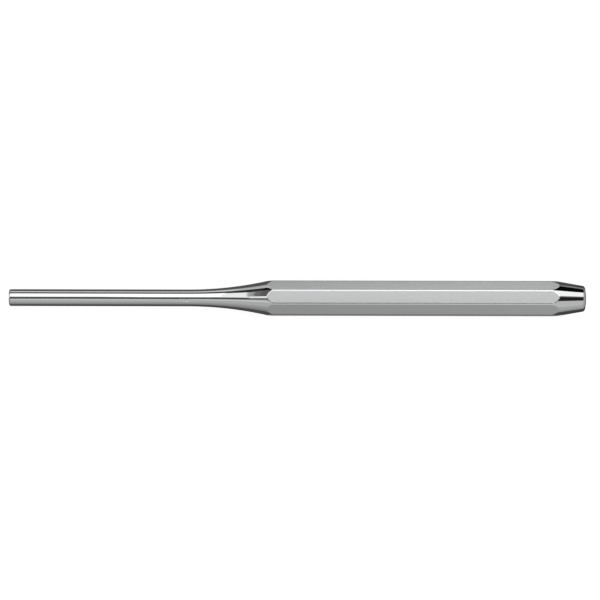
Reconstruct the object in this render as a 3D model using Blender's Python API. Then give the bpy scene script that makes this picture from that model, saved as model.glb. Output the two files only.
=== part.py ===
"""Pin punch: an octagonal steel bar, turned down to a parallel pin with a flared root.

The punch lies at rest on one of its flats, as it would on a bench. Its axis runs along X, the
pin's tip is at -X, the struck head is at +X, and the bench is the plane Z = 0.
"""
import math

import bmesh
import bpy
from mathutils import Matrix

# Driving dimensions, in metres and radians
TOTAL_LENGTH = 0.168
ACROSS_FLATS = 0.010
CORNER_ROUNDING = 0.0007
PIN_DIAMETER = 0.0049
PIN_LENGTH = 0.052
TIP_CHAMFER = 0.00035
FLARE_RADIUS = 0.106
HEAD_DIAMETER = 0.0072
HEAD_TAPER = math.radians(10.0)
HEAD_EDGE_RADIUS = 0.0009
HEAD_CROWN_RADIUS = 0.016

# How finely the round forms are divided
FLATS = 8
TURNED_STEPS = 96
FLARE_STEPS = 12
HEAD_EDGE_STEPS = 4
CROWN_STEPS = 5
CORNER_STEPS = 6
ROUND_PROFILE = 0.5

# The bar is cut from longer stock, and the turning passes clear of it between the two ends
STOCK_ALLOWANCE = 0.002
TURNING_CLEARANCE = 0.0005
MERGE_DISTANCE = 0.00001
SHARP_ANGLE = math.radians(9.0)

# What follows from the driving dimensions
CORNER_HALF_ANGLE = math.pi / FLATS
ACROSS_CORNERS = ACROSS_FLATS / math.cos(CORNER_HALF_ANGLE)
PIN_RADIUS = PIN_DIAMETER / 2
HEAD_RADIUS = HEAD_DIAMETER / 2
CLEAR_RADIUS = ACROSS_CORNERS / 2 + TURNING_CLEARANCE


def clear_scene():
    """Remove every object that the file starts with."""
    for existing in list(bpy.data.objects):
        bpy.data.objects.remove(existing, do_unlink=True)


def add_object(name, mesh, parent):
    """Put a mesh in the scene under a name, carried by its parent."""
    placed = bpy.data.objects.new(name, mesh)
    bpy.context.scene.collection.objects.link(placed)
    placed.parent = parent
    return placed


def add_punch_axis():
    """The turning axis, laid along X at half the bar's height above the bench."""
    axis = bpy.data.objects.new("punch_axis", None)
    bpy.context.scene.collection.objects.link(axis)
    axis.location = (-TOTAL_LENGTH / 2, 0.0, ACROSS_FLATS / 2)
    axis.rotation_euler = (0.0, math.pi / 2, 0.0)
    return axis


def arc(centre_radius, centre_height, radius, start, end, steps):
    """Points (radius, height) on an arc, its angles counted from the turning axis."""
    points = []
    for step in range(steps + 1):
        angle = start + (end - start) * step / steps
        along_radius = centre_radius + radius * math.sin(angle)
        along_height = centre_height + radius * math.cos(angle)
        points.append((along_radius, along_height))
    return points


def head_outline():
    """The crowned end, its rounded edge, and the taper as far out as the bar's corners.

    The edge's arc touches the crown from inside and the taper from inside, which fixes its centre.
    """
    crown_height = TOTAL_LENGTH - HEAD_CROWN_RADIUS
    carrier = HEAD_CROWN_RADIUS - HEAD_EDGE_RADIUS
    reach = (
        HEAD_RADIUS * math.cos(HEAD_TAPER)
        + HEAD_CROWN_RADIUS * math.sin(HEAD_TAPER)
        - HEAD_EDGE_RADIUS
    )
    touch = math.asin(reach / carrier) - HEAD_TAPER
    edge_radius = carrier * math.sin(touch)
    edge_height = crown_height + carrier * math.cos(touch)
    taper_normal = math.pi / 2 - HEAD_TAPER
    crown = arc(0.0, crown_height, HEAD_CROWN_RADIUS, 0.0, touch, CROWN_STEPS)
    edge = arc(edge_radius, edge_height, HEAD_EDGE_RADIUS, touch, taper_normal, HEAD_EDGE_STEPS)
    taper_length = (CLEAR_RADIUS - HEAD_RADIUS) / math.tan(HEAD_TAPER)
    return crown + edge[1:] + [(CLEAR_RADIUS, TOTAL_LENGTH - taper_length)]


def flare_outline():
    """The hollow arc that leaves the pin as a tangent and runs out through the bar's corners."""
    centre_radius = PIN_RADIUS + FLARE_RADIUS
    sweep = math.acos((centre_radius - CLEAR_RADIUS) / FLARE_RADIUS)
    inward = -math.pi / 2
    return arc(centre_radius, PIN_LENGTH, FLARE_RADIUS, inward + sweep, inward, FLARE_STEPS)


def tip_outline():
    """The pin's chamfered edge and its flat face."""
    return [(PIN_RADIUS, TIP_CHAMFER), (PIN_RADIUS - TIP_CHAMFER, 0.0), (0.0, 0.0)]


def make_turned_form(axis):
    """The form that the lathe and the grinding wheel leave, turned about the axis."""
    outline = head_outline() + flare_outline() + tip_outline()
    mesh = bpy.data.meshes.new("turned_form")
    points = [(radius, 0.0, height) for radius, height in outline]
    steps = [(index, index + 1) for index in range(len(points) - 1)]
    mesh.from_pydata(points, steps, [])
    turned = add_object("turned_form", mesh, axis)
    turned.rotation_euler.z = math.pi / TURNED_STEPS
    screw = turned.modifiers.new("turn", "SCREW")
    screw.axis = "Z"
    screw.angle = 2 * math.pi
    screw.steps = TURNED_STEPS
    screw.render_steps = TURNED_STEPS
    screw.use_merge_vertices = True
    screw.merge_threshold = MERGE_DISTANCE
    turned.hide_render = True
    turned.display_type = "WIRE"
    return turned


def make_bar(axis):
    """Octagonal stock with one flat down: its rounded section, drawn out past both ends."""
    mesh = bpy.data.meshes.new("pin_punch")
    form = bmesh.new()
    flat_down = Matrix.Rotation(CORNER_HALF_ANGLE, 4, "Z")
    bar_end = Matrix.Translation((0.0, 0.0, -STOCK_ALLOWANCE)) @ flat_down
    bmesh.ops.create_circle(
        form, cap_ends=True, segments=FLATS, radius=ACROSS_CORNERS / 2, matrix=bar_end
    )
    bmesh.ops.bevel(
        form,
        geom=form.verts[:],
        affect="VERTICES",
        offset=CORNER_ROUNDING * math.tan(CORNER_HALF_ANGLE),
        segments=CORNER_STEPS,
        profile=ROUND_PROFILE,
    )
    drawn = bmesh.ops.extrude_face_region(form, geom=form.faces[:])
    far_end = [item for item in drawn["geom"] if isinstance(item, bmesh.types.BMVert)]
    bar_length = TOTAL_LENGTH + 2 * STOCK_ALLOWANCE
    bmesh.ops.translate(form, verts=far_end, vec=(0.0, 0.0, bar_length))
    bmesh.ops.recalc_face_normals(form, faces=form.faces)
    form.to_mesh(mesh)
    form.free()
    return add_object("pin_punch", mesh, axis)


def turn_bar(bar, turned):
    """Keep what the bar and the turned form share, which leaves a scallop at each flat's ends."""
    cut = bar.modifiers.new("turn_ends", "BOOLEAN")
    cut.operation = "INTERSECT"
    cut.solver = "EXACT"
    cut.object = turned
    shaped = bar.evaluated_get(bpy.context.evaluated_depsgraph_get())
    finished = bpy.data.meshes.new_from_object(shaped)
    finished.name = "pin_punch"
    finished.shade_smooth()
    finished.set_sharp_from_angle(angle=SHARP_ANGLE)
    bar.modifiers.clear()
    bar.data = finished


def chromed_steel():
    """Hard chrome plate on tool steel, between polished and satin."""
    material = bpy.data.materials.new("chromed_steel")
    material.use_nodes = True
    shader = material.node_tree.nodes["Principled BSDF"]
    shader.inputs["Base Color"].default_value = (0.62, 0.63, 0.63, 1.0)
    shader.inputs["Metallic"].default_value = 1.0
    shader.inputs["Roughness"].default_value = 0.22
    return material


def main():
    clear_scene()
    axis = add_punch_axis()
    turned = make_turned_form(axis)
    punch = make_bar(axis)
    turn_bar(punch, turned)
    punch.data.materials.clear()
    punch.data.materials.append(chromed_steel())


main()
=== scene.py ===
# %% [markdown]
# A pin punch drives pins out of their holes. It starts as a length of octagonal steel bar. One
# end is turned down to a long parallel pin, the other gets a tapered head to strike, and the
# whole tool is plated with chrome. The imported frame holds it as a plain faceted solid. These
# cells build a finer skin of the same size and form, finish it, and light it as for a catalogue.

# %% Load the frame and keep its box
import math

import bmesh
import bpy
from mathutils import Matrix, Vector


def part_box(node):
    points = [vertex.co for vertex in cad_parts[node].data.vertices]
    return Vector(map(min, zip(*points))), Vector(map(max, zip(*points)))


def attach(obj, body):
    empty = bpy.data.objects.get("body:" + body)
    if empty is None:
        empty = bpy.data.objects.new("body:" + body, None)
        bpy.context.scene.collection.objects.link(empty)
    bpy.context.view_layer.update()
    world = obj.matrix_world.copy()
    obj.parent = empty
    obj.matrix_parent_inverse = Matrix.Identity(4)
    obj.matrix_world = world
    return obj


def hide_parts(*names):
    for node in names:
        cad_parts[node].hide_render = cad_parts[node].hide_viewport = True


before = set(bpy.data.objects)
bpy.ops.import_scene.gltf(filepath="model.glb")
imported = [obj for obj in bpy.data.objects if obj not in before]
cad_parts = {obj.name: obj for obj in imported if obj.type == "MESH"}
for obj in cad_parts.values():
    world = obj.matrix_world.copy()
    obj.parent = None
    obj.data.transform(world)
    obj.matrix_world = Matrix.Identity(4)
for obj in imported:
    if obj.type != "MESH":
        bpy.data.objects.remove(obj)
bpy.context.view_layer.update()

# %% [markdown]
# The solid gives the overall sizes: it lies along X with one flat on the floor, so its box is
# as long as the tool and as wide and high as the bar is across its flats. The smaller sizes are
# those of the real tool. Everything below is worked out from these two groups.

# %% Sizes of the punch
MM = 0.001
NODE = "pin_punch"
node_low, node_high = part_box(NODE)
TIP_X = node_low.x
HEAD_X = node_high.x
FLAT_RADIUS = (node_high.z - node_low.z) / 2
AXIS = Vector((0.0, 0.0, node_low.z + FLAT_RADIUS))

PIN_RADIUS = 2.45 * MM
PIN_LENGTH = 52.0 * MM
TIP_CHAMFER = 0.35 * MM
FLARE_RADIUS = 106.0 * MM
HEAD_RADIUS = 3.6 * MM
HEAD_TAPER = math.radians(10.0)
HEAD_EDGE_RADIUS = 0.9 * MM
CROWN_RADIUS = 16.0 * MM
CORNER_ROUNDING = 0.7 * MM

FLATS = 8
FLAT_STEP = 2 * math.pi / FLATS
CORNER_REACH = (FLAT_RADIUS - CORNER_ROUNDING) / math.cos(FLAT_STEP / 2) + CORNER_ROUNDING
FLAT_HALF_WIDTH = (FLAT_RADIUS - CORNER_ROUNDING) * math.tan(FLAT_STEP / 2)
print(f"length {(HEAD_X - TIP_X) / MM:.1f} mm, across flats {2 * FLAT_RADIUS / MM:.2f} mm")

# %% [markdown]
# A lathe leaves round forms, and the simplest round form is a cylinder. So the blank starts as
# the pin itself, and its end face is then drawn out and scaled, ring after ring, as one would
# do by hand with extrude and scale. Eighty columns put one column on the middle of each flat
# and one on each corner, which keeps the later cuts even.

# %% Start the blank with the pin
COLUMNS = 80


def add_pin():
    """The parallel pin, from behind its chamfer to where the flare begins."""
    bpy.ops.object.select_all(action="DESELECT")
    depth = PIN_LENGTH - TIP_CHAMFER
    bpy.ops.mesh.primitive_cylinder_add(
        vertices=COLUMNS,
        radius=PIN_RADIUS,
        depth=depth,
        location=(TIP_X + TIP_CHAMFER + depth / 2, AXIS.y, AXIS.z),
        rotation=(0.0, math.pi / 2, 0.0),
    )
    bpy.ops.object.transform_apply(location=True, rotation=True, scale=True)
    pin = bpy.context.object
    pin.name = "punch_steel"
    pin.data.name = "punch_steel"
    return pin


punch = add_pin()
print("pin faces:", len(punch.data.polygons))

# %% [markdown]
# The end faces are picked by the way they look along X. After each extrude the new end face is
# the selection, so one helper can walk along the axis: it extrudes to the next station and
# scales to the next radius about the axis.

# %% Helpers for picking and drawing out
def pick_faces(piece, wanted):
    """Select the faces that pass a test, and nothing else."""
    bpy.ops.mesh.select_all(action="DESELECT")
    form = bmesh.from_edit_mesh(piece.data)
    for face in form.faces:
        face.select_set(wanted(face))
    form.select_flush(True)
    bmesh.update_edit_mesh(piece.data)


def draw_out(ring, station, radius):
    """Extrude the selected end face to a station on the axis and scale it to a radius."""
    bpy.ops.mesh.extrude_region_move(
        TRANSFORM_OT_translate={"value": (station - ring[0], 0.0, 0.0)}
    )
    scale = radius / ring[1]
    bpy.ops.transform.resize(
        value=(1.0, scale, scale), center_override=(station, AXIS.y, AXIS.z)
    )
    return station, radius


# %% [markdown]
# The tip is a flat face with a narrow chamfer. Behind the pin comes the flare, a hollow arc that
# leaves the pin as a tangent. Its rings stop just short of the flats, then one straight band
# crosses the zone where flats and corners will cut in, so that every cut edge there lies in a
# single band of faces.

# %% Turn the tip and the flare
END_FACING = 0.5
SHORT_OF_FLAT = 0.05 * MM
PAST_CORNER = 0.06 * MM
CLEARANCE = 0.5 * MM
FLARE_STEPS = 28
CLEAR_RADIUS = CORNER_REACH + CLEARANCE


def flare_angle(radius):
    """The angle round the flare's own centre at which it reaches a distance from the axis."""
    return math.acos(1 - (radius - PIN_RADIUS) / FLARE_RADIUS)


def flare_ring(angle):
    """Station and radius of the flare at an angle round its own centre."""
    station = TIP_X + PIN_LENGTH + FLARE_RADIUS * math.sin(angle)
    return station, PIN_RADIUS + FLARE_RADIUS * (1 - math.cos(angle))


def turn_tip_and_flare(piece):
    """Chamfer the tip, then draw the other end of the pin out along the flare."""
    pick_faces(piece, lambda face: face.normal.x < -END_FACING)
    draw_out((TIP_X + TIP_CHAMFER, PIN_RADIUS), TIP_X, PIN_RADIUS - TIP_CHAMFER)
    pick_faces(piece, lambda face: face.normal.x > END_FACING)
    ring = (TIP_X + PIN_LENGTH, PIN_RADIUS)
    last = flare_angle(FLAT_RADIUS - SHORT_OF_FLAT)
    for step in range(1, FLARE_STEPS + 1):
        ring = draw_out(ring, *flare_ring(last * step / FLARE_STEPS))
    ring = draw_out(ring, *flare_ring(flare_angle(CORNER_REACH + PAST_CORNER)))
    return draw_out(ring, *flare_ring(flare_angle(CLEAR_RADIUS)))


bpy.ops.object.mode_set(mode="EDIT")
flare_end = turn_tip_and_flare(punch)
print(f"flare ends {(flare_end[0] - TIP_X) / MM:.1f} mm from the tip")

# %% [markdown]
# The head is a taper, a rounded edge and a slightly crowned end, which keeps hammer blows in
# the middle. The edge's arc touches both the taper and the crown from inside. Its centre lies
# on a circle round the crown's centre, and the angle at which it touches follows from that.

# %% Turn the head
EDGE_STEPS = 8
CROWN_STEPS = 10


def head_rings():
    """Stations and radii from the taper's start, round the edge, to just before the pole."""
    crown_x = HEAD_X - CROWN_RADIUS
    carrier = CROWN_RADIUS - HEAD_EDGE_RADIUS
    reach = (
        HEAD_RADIUS * math.cos(HEAD_TAPER)
        + CROWN_RADIUS * math.sin(HEAD_TAPER)
        - HEAD_EDGE_RADIUS
    )
    touch = math.asin(reach / carrier) - HEAD_TAPER
    edge_x = crown_x + carrier * math.cos(touch)
    edge_radius = carrier * math.sin(touch)
    square = math.pi / 2 - HEAD_TAPER
    rings = [(HEAD_X - (CLEAR_RADIUS - HEAD_RADIUS) / math.tan(HEAD_TAPER), CLEAR_RADIUS)]
    for step in range(EDGE_STEPS + 1):
        angle = square + (touch - square) * step / EDGE_STEPS
        station = edge_x + HEAD_EDGE_RADIUS * math.cos(angle)
        rings.append((station, edge_radius + HEAD_EDGE_RADIUS * math.sin(angle)))
    for step in range(1, CROWN_STEPS):
        angle = touch * (1 - step / CROWN_STEPS)
        station = crown_x + CROWN_RADIUS * math.cos(angle)
        rings.append((station, CROWN_RADIUS * math.sin(angle)))
    return rings


def turn_head(ring):
    """Draw the blank out along the head and close it at the middle of the crown."""
    for station, radius in head_rings():
        ring = draw_out(ring, station, radius)
    bpy.ops.mesh.extrude_region_move(
        TRANSFORM_OT_translate={"value": (HEAD_X - ring[0], 0.0, 0.0)}
    )
    bpy.ops.mesh.merge(type="CENTER")


turn_head(flare_end)
print("rings on the head:", len(head_rings()))

# %% [markdown]
# On the real tool the flats come from the drawn bar. On a turned blank it is easier to put them
# on last, with planes: bisect throws away what lies outside each plane and closes the cut with
# one face. Eight planes make the flats and leave a scallop where each one runs out into the
# flare and the taper. A few more planes between each pair, all touching the same small circle,
# round the corners as they are on drawn bar.

# %% Grind the flats and their corners
CORNER_CUTS = 7
CUT_TOLERANCE = 0.0001 * MM


def grind(angle, depth):
    """Cut the blank with a plane along the axis, at an angle round it and a depth from it."""
    outward = Vector((0.0, math.sin(angle), math.cos(angle)))
    bpy.ops.mesh.select_all(action="SELECT")
    bpy.ops.mesh.bisect(
        plane_co=AXIS + outward * depth,
        plane_no=outward,
        use_fill=True,
        clear_outer=True,
        threshold=CUT_TOLERANCE,
    )


def grind_section():
    """Flats first, then the planes that round each corner."""
    corner_centre = (FLAT_RADIUS - CORNER_ROUNDING) / math.cos(FLAT_STEP / 2)
    for flat in range(FLATS):
        grind(flat * FLAT_STEP, FLAT_RADIUS)
    for flat in range(FLATS):
        for cut in range(1, CORNER_CUTS + 1):
            turn = FLAT_STEP * cut / (CORNER_CUTS + 1)
            depth = corner_centre * math.cos(turn - FLAT_STEP / 2) + CORNER_ROUNDING
            grind(flat * FLAT_STEP + turn, depth)


grind_section()
bpy.ops.object.mode_set(mode="OBJECT")
print("faces after grinding:", len(punch.data.polygons))

# %% [markdown]
# Polishing softens the rims where the flats meet the turned parts. Those rims are the edges
# between a face that runs along the axis and one that leans. A bevel of about a tenth of a
# millimetre gives them the thin bright line that such a rim shows.

# %% Soften the rims
RIM_SOFTENING = 0.12 * MM
RIM_STEPS = 3
LEAN = 0.01


def is_rim(edge):
    """Whether an edge joins a flat or corner to the flare or the taper."""
    if len(edge.link_faces) != 2:
        return False
    leans = [abs(face.normal.x) > LEAN for face in edge.link_faces]
    middle = (edge.verts[0].co + edge.verts[1].co) / 2 - AXIS
    far_out = math.hypot(middle.y, middle.z) > FLAT_RADIUS - SHORT_OF_FLAT / 2
    return leans[0] != leans[1] and far_out


def soften_rims(piece):
    """Bevel every rim edge, and say how many there were."""
    bpy.ops.object.mode_set(mode="EDIT")
    bpy.ops.mesh.select_mode(type="EDGE")
    bpy.ops.mesh.select_all(action="DESELECT")
    form = bmesh.from_edit_mesh(piece.data)
    rims = [edge for edge in form.edges if is_rim(edge)]
    for edge in rims:
        edge.select_set(True)
    bmesh.update_edit_mesh(piece.data)
    bpy.ops.mesh.bevel(offset=RIM_SOFTENING, segments=RIM_STEPS, profile=0.5, clamp_overlap=False)
    bpy.ops.object.mode_set(mode="OBJECT")
    return len(rims)


print("rim edges softened:", soften_rims(punch))

# %% [markdown]
# Polished steel shows every fault in its shading. The large flat faces have to stay flat to the
# eye while the narrow rounded ones between them turn, so normals are weighted by face area.
# Only the chamfer at the tip stays sharp.

# %% Shade the punch
SHARP_EDGE = math.radians(30.0)


def shade(piece):
    """Smooth shading, weighted by area, with sharp edges kept."""
    bpy.ops.object.select_all(action="DESELECT")
    piece.select_set(True)
    bpy.context.view_layer.objects.active = piece
    bpy.ops.object.shade_smooth_by_angle(angle=SHARP_EDGE)
    weighted = piece.modifiers.new("flat_flats", "WEIGHTED_NORMAL")
    weighted.mode = "FACE_AREA"
    weighted.weight = 100
    weighted.keep_sharp = True
    bpy.ops.object.modifier_apply(modifier=weighted.name)


shade(punch)
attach(punch, "root")
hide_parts(NODE)
print("triangles:", sum(len(face.vertices) - 2 for face in punch.data.polygons))

# %% [markdown]
# Finishes are built from shader nodes. Wrapping a socket in a small class lets Python's own
# signs stand for Math nodes, so a mask reads like the sum that it is.

# %% A class for shader sums
class Signal:
    """A node's output socket that can be added, multiplied and so on."""

    def __init__(self, bench, socket):
        self.bench = bench
        self.socket = socket

    def __add__(self, other):
        return self.bench.sums("ADD", self, other)

    def __radd__(self, other):
        return self.bench.sums("ADD", other, self)

    def __sub__(self, other):
        return self.bench.sums("SUBTRACT", self, other)

    def __rsub__(self, other):
        return self.bench.sums("SUBTRACT", other, self)

    def __mul__(self, other):
        return self.bench.sums("MULTIPLY", self, other)

    def __rmul__(self, other):
        return self.bench.sums("MULTIPLY", other, self)


class Bench:
    """The node tree of one material or world, and the one way that nodes are added to it."""

    def __init__(self, owner):
        owner.use_nodes = True
        self.tree = owner.node_tree
        self.tree.nodes.clear()

    def node(self, kind, settings=None, inputs=None, output=0):
        """Add a node, set it up, then fill its sockets with values or links."""
        made = self.tree.nodes.new(kind)
        for name, value in (settings or {}).items():
            setattr(made, name, value)
        for name, value in (inputs or {}).items():
            if isinstance(value, Signal):
                self.tree.links.new(value.socket, made.inputs[name])
            else:
                made.inputs[name].default_value = value
        return Signal(self, made.outputs[output]) if made.outputs else made

    def sums(self, operation, first, second=0.0):
        """A Math node."""
        return self.node("ShaderNodeMath", {"operation": operation}, {0: first, 1: second})

    def fade(self, value, start, end, low=0.0, high=1.0):
        """A smooth step from low to high as a value goes from start to end."""
        settings = {"interpolation_type": "SMOOTHSTEP"}
        inputs = {"Value": value, "From Min": start, "From Max": end, "To Min": low, "To Max": high}
        return self.node("ShaderNodeMapRange", settings, inputs)


print("shader bench ready")

# %% [markdown]
# One plating covers the whole tool, but its lustre differs: the drawn flats are satin with fine
# grain along the bar, while everything turned, and the corners that hands and tumbling have
# burnished, is bright. The mask between them follows from the geometry. Folding the angle round
# the axis into one eighth gives the distance to the nearest flat and the distance along it.

# %% Where the drawn flats are
FLAT_BLEND_START = 0.0015 * MM
FLAT_BLEND_END = 0.0005 * MM
EDGE_BLEND = 0.06 * MM


def place_on_punch(bench):
    """The place on the punch, and its parts along, beside and above the axis."""
    place = bench.node("ShaderNodeTexCoord", output="Object")
    along = bench.node("ShaderNodeSeparateXYZ", inputs={0: place}, output="X")
    side = Signal(bench, along.socket.node.outputs["Y"])
    up = Signal(bench, along.socket.node.outputs["Z"]) - AXIS.z
    return place, along, side, up


def satin_mask(bench, side, up):
    """One on the drawn flats, nought on the corners and the turned parts."""
    reach = bench.sums("SQRT", side * side + up * up)
    around = bench.sums("ARCTAN2", side, up)
    half_step = FLAT_STEP / 2
    folded = bench.sums("FLOORED_MODULO", around + half_step, FLAT_STEP) - half_step
    to_flat = reach * bench.sums("COSINE", folded)
    across_flat = bench.sums("ABSOLUTE", reach * bench.sums("SINE", folded))
    on_plane = bench.fade(to_flat, FLAT_RADIUS - FLAT_BLEND_START, FLAT_RADIUS - FLAT_BLEND_END)
    inside = bench.fade(across_flat, FLAT_HALF_WIDTH - EDGE_BLEND, FLAT_HALF_WIDTH, 1.0, 0.0)
    return on_plane * inside


print(f"a flat is satin over {2 * FLAT_HALF_WIDTH / MM:.2f} mm")

# %% [markdown]
# Drawing leaves grain along the bar, plating leaves a faint cloudiness, and turning leaves rings
# round the axis. All three are noise. Stretching it along X makes grain, and noise that depends
# on X alone makes rings. Each moves the roughness a little and lifts the surface by at most a few
# thousandths of a millimetre, through a bump, since marks so fine need no mesh.

# %% Fine marks
GRAIN_SCALE = (180.0, 5200.0, 5200.0)
GRAIN_DETAIL = 3.0
CLOUD_SCALE = (500.0, 1500.0, 1500.0)
CLOUD_DETAIL = 2.0
RING_SCALE = 9000.0
RING_DETAIL = 2.0


def stretched_noise(bench, place, scale, detail):
    """Noise with its own scale along each axis, in cells per metre."""
    scaled = bench.node("ShaderNodeMapping", inputs={"Vector": place, "Scale": scale})
    inputs = {"Vector": scaled, "Scale": 1.0, "Detail": detail}
    return bench.node("ShaderNodeTexNoise", inputs=inputs)


def ring_noise(bench, along):
    """Noise that changes along the axis only."""
    inputs = {"W": along * RING_SCALE, "Scale": 1.0, "Detail": RING_DETAIL}
    return bench.node("ShaderNodeTexNoise", {"noise_dimensions": "1D"}, inputs)


print(f"rings about {1 / RING_SCALE / MM:.2f} mm apart")

# %% [markdown]
# The plating itself is a metal with one colour. The mask picks the roughness of the satin flats
# or of the bright parts, and it weighs the marks in the same way.

# %% Chrome finish
PLATE_COLOUR = (0.63, 0.635, 0.64, 1.0)
SATIN_ROUGHNESS = 0.30
SATIN_SPREAD = 0.10
BRIGHT_ROUGHNESS = 0.05
RING_SPREAD = 0.03
GRAIN_SHARE = 0.6
CLOUD_SHARE = 0.4
RING_SHARE = 0.02
MARK_DEPTH = 0.004 * MM


def chrome_finish():
    """Satin on the flats, bright elsewhere, each with its own fine marks."""
    material = bpy.data.materials.new("chromed_steel")
    bench = Bench(material)
    place, along, side, up = place_on_punch(bench)
    satin = satin_mask(bench, side, up)
    grain = stretched_noise(bench, place, GRAIN_SCALE, GRAIN_DETAIL)
    cloud = stretched_noise(bench, place, CLOUD_SCALE, CLOUD_DETAIL)
    rings = ring_noise(bench, along)
    satin_roughness = SATIN_ROUGHNESS + SATIN_SPREAD * (cloud - 0.5) + SATIN_SPREAD * (grain - 0.5)
    bright_roughness = BRIGHT_ROUGHNESS + RING_SPREAD * (rings - 0.5)
    roughness = bench.node(
        "ShaderNodeMix",
        {"data_type": "FLOAT"},
        {"Factor": satin, "A": bright_roughness, "B": satin_roughness},
    )
    satin_marks = satin * (grain * GRAIN_SHARE + cloud * CLOUD_SHARE)
    height = satin_marks + (1 - satin) * rings * RING_SHARE
    bump_inputs = {"Height": height, "Distance": MARK_DEPTH, "Strength": 1.0}
    bump = bench.node("ShaderNodeBump", inputs=bump_inputs)
    shader = bench.node(
        "ShaderNodeBsdfPrincipled",
        inputs={
            "Base Color": PLATE_COLOUR,
            "Metallic": 1.0,
            "Roughness": roughness,
            "Normal": bump,
        },
    )
    bench.node("ShaderNodeOutputMaterial", inputs={"Surface": shader})
    return material


punch.data.materials.clear()
punch.data.materials.append(chrome_finish())
print("finish:", punch.data.materials[0].name)

# %% [markdown]
# Chrome has no colour of its own: it shows the room. So the studio is drawn as cards round the
# punch's axis, each between two angles counted from straight up towards the back. A card's
# brightness is stated as the tone that polished chrome should show where it mirrors the card,
# and the plating's own reflectance is divided out. Dark flags between the lights give the crisp
# dark lines that make chrome look like chrome.

# %% Tones, and light that may change along the punch
FADE_LEFT = -0.05
FADE_RIGHT = 0.15


def linear(tone):
    """A screen tone from 0 to 255 as linear light."""
    share = tone / 255
    if share <= 0.04045:
        return share / 12.92
    return ((share + 0.055) / 1.055) ** 2.4


def card_light(tone):
    """The radiance of a card that shows as a tone in the plating."""
    return linear(tone) / PLATE_COLOUR[0]


def both(value):
    """A value for each end: the same one twice, unless a pair is given."""
    return value if isinstance(value, tuple) else (value, value)


def between(ends, share):
    """The value at a share of the way from one end to the other."""
    return ends[0] + (ends[1] - ends[0]) * share


def glow(name, tone):
    """An emitter, even or fading from the tone at the pin's end to that at the head's end."""
    material = bpy.data.materials.new(name)
    bench = Bench(material)
    left, right = (card_light(value) for value in both(tone))
    inputs = {"Strength": left}
    if left != right:
        place = bench.node("ShaderNodeTexCoord", output="Object")
        along = bench.node("ShaderNodeSeparateXYZ", inputs={0: place}, output="X")
        ends = {"From Min": FADE_LEFT, "From Max": FADE_RIGHT, "To Min": left, "To Max": right}
        faded = bench.node("ShaderNodeMapRange", inputs={"Value": along, **ends})
        inputs = {"Color": faded, "Strength": 1.0}
    light = bench.node("ShaderNodeEmission", inputs=inputs)
    bench.node("ShaderNodeOutputMaterial", inputs={"Surface": light})
    return material


print(f"tone 200 needs a card of radiance {card_light(200):.2f}")

# %% [markdown]
# Every card and board starts as a grid. Its columns are put at stations along the punch and its
# rows wherever the kind of card says, on a cylinder round the axis or flat under the floor. A
# pair in place of one value slants an edge, which lets it follow the bend that it has in the
# flare.

# %% Cards for the chrome to mirror
CARD_DISTANCE = 0.6
CARD_BEND = math.radians(5.0)
CARD_DIVISIONS = 4


def add_board(name, rows, left, right, tone, place_row):
    """A glowing grid that only mirror rays meet."""
    left, right = both(left), both(right)
    bpy.ops.object.select_all(action="DESELECT")
    bpy.ops.mesh.primitive_grid_add(x_subdivisions=CARD_DIVISIONS, y_subdivisions=rows, size=1.0)
    board = bpy.context.object
    board.name = name
    for corner in board.data.vertices:
        along = corner.co.x + 0.5
        across = corner.co.y + 0.5
        corner.co = place_row(along, across)
        corner.co.x = between((between(left, across), between(right, across)), along)
    board.data.materials.append(glow(name, tone))
    board.visible_camera = False
    board.visible_diffuse = False
    board.visible_shadow = False
    board.visible_transmission = False
    board.visible_volume_scatter = False


def add_card(name, start, end, left, right, tone, distance=CARD_DISTANCE):
    """A card bent round the axis, between two angles and two stations along the punch."""
    start, end = both(start), both(end)
    rows = max(1, round(abs(math.radians(end[0] - start[0])) / CARD_BEND))

    def on_cylinder(along, across):
        angle = math.radians(between((between(start, along), between(end, along)), across))
        return AXIS + distance * Vector((0.0, math.sin(angle), math.cos(angle)))

    add_board(name, rows, left, right, tone, on_cylinder)


print(f"cards stand {CARD_DISTANCE:.1f} m from the axis")

# %% [markdown]
# A card's ends are stations along the punch, in metres from its middle. The pin and the body
# mirror what stands beside them. The flare leans, so it mirrors places further and further to the
# left, as far as about -0.3 at its thick end. The head's taper leans the other way and mirrors
# places to the right of about 0.2. So each stretch can have cards of its own.

# %% Stations along the punch
FAR_LEFT = -0.70
FAR_RIGHT = 0.42
PIN_SIDE = -0.145
BODY_SIDE = -0.05
BODY_END = 0.10
BACK_RIGHT = 0.20
FRONT_RIGHT = 0.285
BOX_RIGHT = (0.285, 0.25)
FLARE_END = -0.2335
BOX_END = (-0.2335, -0.2095)
FADE_START = (-0.229, -0.2065)
FADE_END = (-0.2505, -0.228)
WING_EDGE = (-0.272, -0.2495)
print(f"cards reach from {FAR_LEFT} to {FAR_RIGHT} m")

# %% [markdown]
# Each row below gives a card's name, the angles at which it starts and ends in degrees, its left
# and right stations, and its tone. A large softbox reaches from almost straight above to the back.
# A dark flag round the camera draws the line beside it, then come the light and the greys in
# front, and at the back a flag and a panel. Along the body the front flag and light are slanted,
# which keeps the thin line under the middle flat at the height that it has in the picture.

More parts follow.
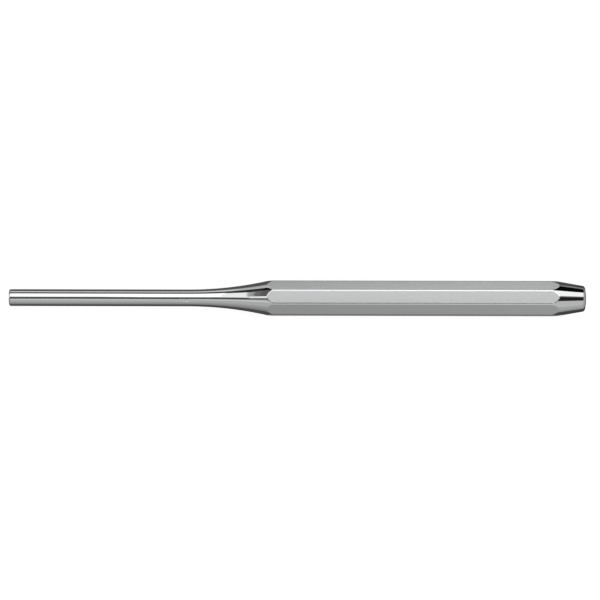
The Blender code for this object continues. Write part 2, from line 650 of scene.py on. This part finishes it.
# %% Cards round the punch
CARDS = (
    ("softbox", (4.5, 7.5), (54.3, 53), PIN_SIDE, BOX_RIGHT, (260, 286)),
    ("softbox_left", (-1, 3), (46.5, 50.5), BOX_END, PIN_SIDE, 233),
    ("softbox_fade", 8, 52.5, FADE_END, FADE_START, 152),
    ("softbox_end", 8, 52.5, WING_EDGE, FADE_END, 102),
    ("wing", 8, 52.5, FAR_LEFT, WING_EDGE, 86),
    ("strip_light", -3.5, 8, FAR_LEFT, FLARE_END, 238),
    ("softbox_right", 14.5, 53, BOX_RIGHT, FAR_RIGHT, 242),
    ("softbox_right_edge", 7.5, 14.5, FRONT_RIGHT, FAR_RIGHT, 118),
    ("camera_flag", -19.3, (4.5, 5.16), PIN_SIDE, BODY_SIDE, 72),
    ("camera_flag_body", (-40.5, -19.3), (5.16, 6.21), BODY_SIDE, BODY_END, (72, 84)),
    ("camera_flag_head", -19.3, (6.21, 7.5), BODY_END, FRONT_RIGHT, (72, 84)),
    ("camera_flag_mid", -19.3, (-1, 3), FLARE_END, PIN_SIDE, 72),
    ("camera_flag_left", -19.3, -3.5, FAR_LEFT, FLARE_END, 107),
    ("camera_flag_right", -21.8, 7.5, FRONT_RIGHT, FAR_RIGHT, 30),
    ("back_flag", (54.3, 53.3), (74, 79), PIN_SIDE, BACK_RIGHT, 30),
    ("back_flag_mid", (46.5, 50.5), 73, FLARE_END, PIN_SIDE, 40),
    ("back_flag_left", 52.5, 73, FAR_LEFT, FLARE_END, 22),
    ("back_flag_right", 53.2, 92, BACK_RIGHT, FAR_RIGHT, 8),
    ("back_panel", (74, 79), 92, PIN_SIDE, BACK_RIGHT, (203, 217)),
    ("back_panel_left", 73, 92, FAR_LEFT, PIN_SIDE, 177),
    ("front_light", (-40.5, -19.3), (-61.4, -38), BODY_SIDE, BODY_END, (240, 246)),
    ("front_light_head", -19.3, -38, BODY_END, FRONT_RIGHT, (240, 246)),
    ("front_light_left", -19.3, -38, FAR_LEFT, BODY_SIDE, 188),
    ("front_grey_left", -38, -68, FAR_LEFT, BODY_SIDE, 165),
    ("front_grey", (-61.4, -38), -68, BODY_SIDE, BODY_END, 165),
    ("front_grey_head", -38, -68, BODY_END, BACK_RIGHT, 165),
    ("front_low", -68, -91, FAR_LEFT, BACK_RIGHT, (145, 151)),
    ("front_light_right", -21.8, -38, FRONT_RIGHT, FAR_RIGHT, 178),
    ("front_grey_right", -38, -68, BACK_RIGHT, FAR_RIGHT, 178),
    ("front_low_right", -68, -91, BACK_RIGHT, FAR_RIGHT, 160),
)
for row in CARDS:
    add_card(*row)
print("cards:", [row[0] for row in CARDS])

# %% [markdown]
# The dark line along the pin lies a little higher towards the tip than further back. Three narrow
# flags close to the pin move its edges. They could be worked into the large cards, but standing
# apart they can be set without changing what the flare and the body mirror.

# %% Flags close to the pin
NEAR_DISTANCE = 0.05
FLAG_TONE = 72
PAST_TIP = -0.095
MID_PIN = -0.0605
LATE_PIN = -0.042
PIN_END = -0.036
NEAR_FLAGS = (
    ("tip_flag", 2, 8.2, PAST_TIP, MID_PIN),
    ("tip_flag_end", 2, (8.2, 4), MID_PIN, LATE_PIN),
    ("pin_flag", (-19.3, -21.3), -18, MID_PIN, PIN_END),
)
for row in NEAR_FLAGS:
    add_card(*row, FLAG_TONE, NEAR_DISTANCE)
print("near flags:", [row[0] for row in NEAR_FLAGS])

# %% [markdown]
# The chamfer at the tip and the rounded edge of the head lean so far that they mirror what stands
# beyond the ends of the punch: a small card at the tip and a grey wall at the head. The small
# card is a light grey. A white one would let the pin vanish against the floor when it is seen from
# the head.

# %% Cards beyond the ends
TIP_LIGHT_X = TIP_X - 0.03
TIP_LIGHT_FRONT = -0.002
TIP_LIGHT_BACK = 0.0122
TIP_LIGHT_HEIGHT = 0.012
TIP_LIGHT_TONE = 185
WALL_X = 0.80
WALL_HALF_WIDTH = 0.80
WALL_HEIGHT = 1.30
WALL_TONE = 150


def add_end_card(name, station, edges, height, tone):
    """A card that stands on the floor square to the punch, beyond one of its ends."""

    def upright(along, across):
        return Vector((0.0, between(edges, along), height * across))

    add_board(name, 1, station, station, tone, upright)


tip_light_edges = (TIP_LIGHT_FRONT, TIP_LIGHT_BACK)
wall_edges = (-WALL_HALF_WIDTH, WALL_HALF_WIDTH)
add_end_card("tip_light", TIP_LIGHT_X, tip_light_edges, TIP_LIGHT_HEIGHT, TIP_LIGHT_TONE)
add_end_card("head_wall", WALL_X, wall_edges, WALL_HEIGHT, WALL_TONE)
print(f"wall {WALL_HEIGHT:.1f} m high at {WALL_X:.1f} m")

# %% [markdown]
# The floor is plain, pale and evenly lit, as on a light table, so the tool throws next to no
# shadow. Seen in the chrome it would turn everything below white as well. So mirror rays don't
# meet it: they meet boards just under it, grey further off and darker close to the tool, which
# is what the tool's own shade does to a real table.

# %% Floor and sky
FLOOR_SIZE = 6.0
FLOOR_COLOUR = (0.25, 0.25, 0.25, 1.0)
FLOOR_GLOW = 0.86
SKY_LIGHT = 1.0
ROOM_TONE = 115


def floor_finish():
    """A matt surface with most of its light from below."""
    material = bpy.data.materials.new("pale_floor")
    bench = Bench(material)
    shader = bench.node(
        "ShaderNodeBsdfPrincipled",
        inputs={
            "Base Color": FLOOR_COLOUR,
            "Roughness": 1.0,
            "Emission Color": (1.0, 1.0, 1.0, 1.0),
            "Emission Strength": FLOOR_GLOW,
        },
    )
    bench.node("ShaderNodeOutputMaterial", inputs={"Surface": shader})
    return material


def add_floor():
    """The surface that the punch lies on."""
    bpy.ops.object.select_all(action="DESELECT")
    bpy.ops.mesh.primitive_plane_add(size=FLOOR_SIZE, location=(0.0, 0.0, 0.0))
    floor = bpy.context.object
    floor.name = "floor"
    floor.data.materials.append(floor_finish())
    floor.visible_glossy = False


def light_world():
    """Pale to the eye and to matt things, grey to mirrors."""
    world = bpy.data.worlds.new("studio")
    bpy.context.scene.world = world
    bench = Bench(world)
    glossy = bench.node("ShaderNodeLightPath", output="Is Glossy Ray")
    strength = bench.node(
        "ShaderNodeMix",
        {"data_type": "FLOAT"},
        {"Factor": glossy, "A": SKY_LIGHT, "B": card_light(ROOM_TONE)},
    )
    light = bench.node("ShaderNodeBackground", inputs={"Strength": strength})
    bench.node("ShaderNodeOutputWorld", inputs={"Surface": light})


add_floor()
light_world()
print(f"floor {FLOOR_SIZE:.0f} m wide")

# %% [markdown]
# The boards are rows of name, front and back edge, left and right edge, and tone. Front and back
# are places on the Y axis, and the front is negative. The boards glow to paint what the chrome
# mirrors below it: those near the punch are painted shade, and the rest are the table with painted
# light, lighter towards the head and darker again behind it.

# %% Boards under the floor
BOARD_DEPTH = 1.0 * MM


def add_under_board(name, front, back, left, right, tone):
    """A board just under the floor, between two distances from the punch."""

    def under_floor(along, across):
        return Vector((0.0, between((front, back), across), -BOARD_DEPTH))

    add_board(name, 1, left, right, tone, under_floor)


FAR = FLOOR_SIZE / 2
SHADE_BACK = 0.048
SHADE_FRONT = 0.027
NEAR_FRONT = 0.009
NEAR_EDGE = 0.004
HEAD_SHADE = 0.028
FAR_BACK = 0.17
BODY_LEFT = -0.009
BODY_RIGHT = 0.078
HEAD_SIDE = 0.0835
HEAD_SIDE_FAR = 0.10
SLANT_SIDE = 0.087
SHADE_SLANT = (HEAD_SIDE, SLANT_SIDE)
TABLE_SLANT = (SLANT_SIDE, HEAD_SIDE_FAR)
TIP_SIDE = -0.090
END_SIDE = 0.098
# Glowing boards seen only in the chrome: painted shade near the punch, and painted light and shade
# on the table further off.
BOARDS = (
    ("near_front", -NEAR_FRONT, -NEAR_EDGE, BODY_LEFT, BODY_RIGHT, 118),
    ("shade_front", -SHADE_FRONT, -NEAR_FRONT, TIP_SIDE, END_SIDE, (72, 55)),
    ("shade_front_left", -NEAR_FRONT, 0.0, TIP_SIDE, BODY_LEFT, 66),
    ("shade_front_right", -NEAR_FRONT, 0.0, BODY_RIGHT, END_SIDE, 55),
    ("shade_under", -NEAR_EDGE, 0.0, BODY_LEFT, BODY_RIGHT, 55),
    ("shade_back", 0.0, SHADE_BACK, TIP_SIDE, SHADE_SLANT, (77, 70)),
    ("shade_back_right", 0.0, HEAD_SHADE, HEAD_SIDE, END_SIDE, 58),
    ("table_left", -SHADE_FRONT, SHADE_BACK, -FAR, TIP_SIDE, 112),
    ("table_right", -SHADE_FRONT, HEAD_SHADE, END_SIDE, FAR, 150),
    ("table_front", -FAR, -SHADE_FRONT, -FAR, FAR, (120, 149)),
    ("table_back", SHADE_BACK, FAR_BACK, -FAR, TABLE_SLANT, (149, 213)),
    ("table_back_far", FAR_BACK, FAR, -FAR, HEAD_SIDE_FAR, (149, 213)),
    ("table_back_right", HEAD_SHADE, FAR_BACK, TABLE_SLANT, FAR, 125),
    ("far_back_right", FAR_BACK, FAR, HEAD_SIDE_FAR, FAR, 20),
)
for row in BOARDS:
    add_under_board(*row)
print("boards:", [row[0] for row in BOARDS])

# %% [markdown]
# The picture looks almost straight down on the punch, from far enough away that both ends look
# the same size. It shows the upper flat tipped a few degrees, so the camera stands that far from
# the vertical. A long lens at the matching distance gives the right scale.

# %% Camera
LENS = 210.0
SENSOR = 36.0
PICTURE_WIDTH = 600
PIXELS_PER_METRE = 3432.0
ELEVATION = math.radians(85.3)
ROLL = math.radians(0.12)
AIM_X = 0.70 * MM
AIM_BELOW = 0.53 * MM


def add_camera():
    """A long lens above the punch, aimed so that the punch lies as in the picture."""
    data = bpy.data.cameras.new("camera")
    data.lens = LENS
    data.sensor_width = SENSOR
    data.clip_end = 20.0
    camera = bpy.data.objects.new("camera", data)
    bpy.context.scene.collection.objects.link(camera)
    distance = PICTURE_WIDTH / PIXELS_PER_METRE * LENS / SENSOR
    back = Vector((0.0, -math.cos(ELEVATION), math.sin(ELEVATION)))
    image_up = Vector((0.0, math.sin(ELEVATION), math.cos(ELEVATION)))
    aim = AXIS + Vector((AIM_X, 0.0, 0.0)) - image_up * AIM_BELOW
    camera.location = aim + back * distance
    camera.rotation_euler = (math.pi / 2 - ELEVATION, 0.0, 0.0)
    camera.rotation_euler.rotate_axis("Z", ROLL)
    bpy.context.scene.camera = camera
    return distance


print(f"camera {add_camera():.3f} m away")
bpy.context.scene.view_settings.view_transform = "Standard"
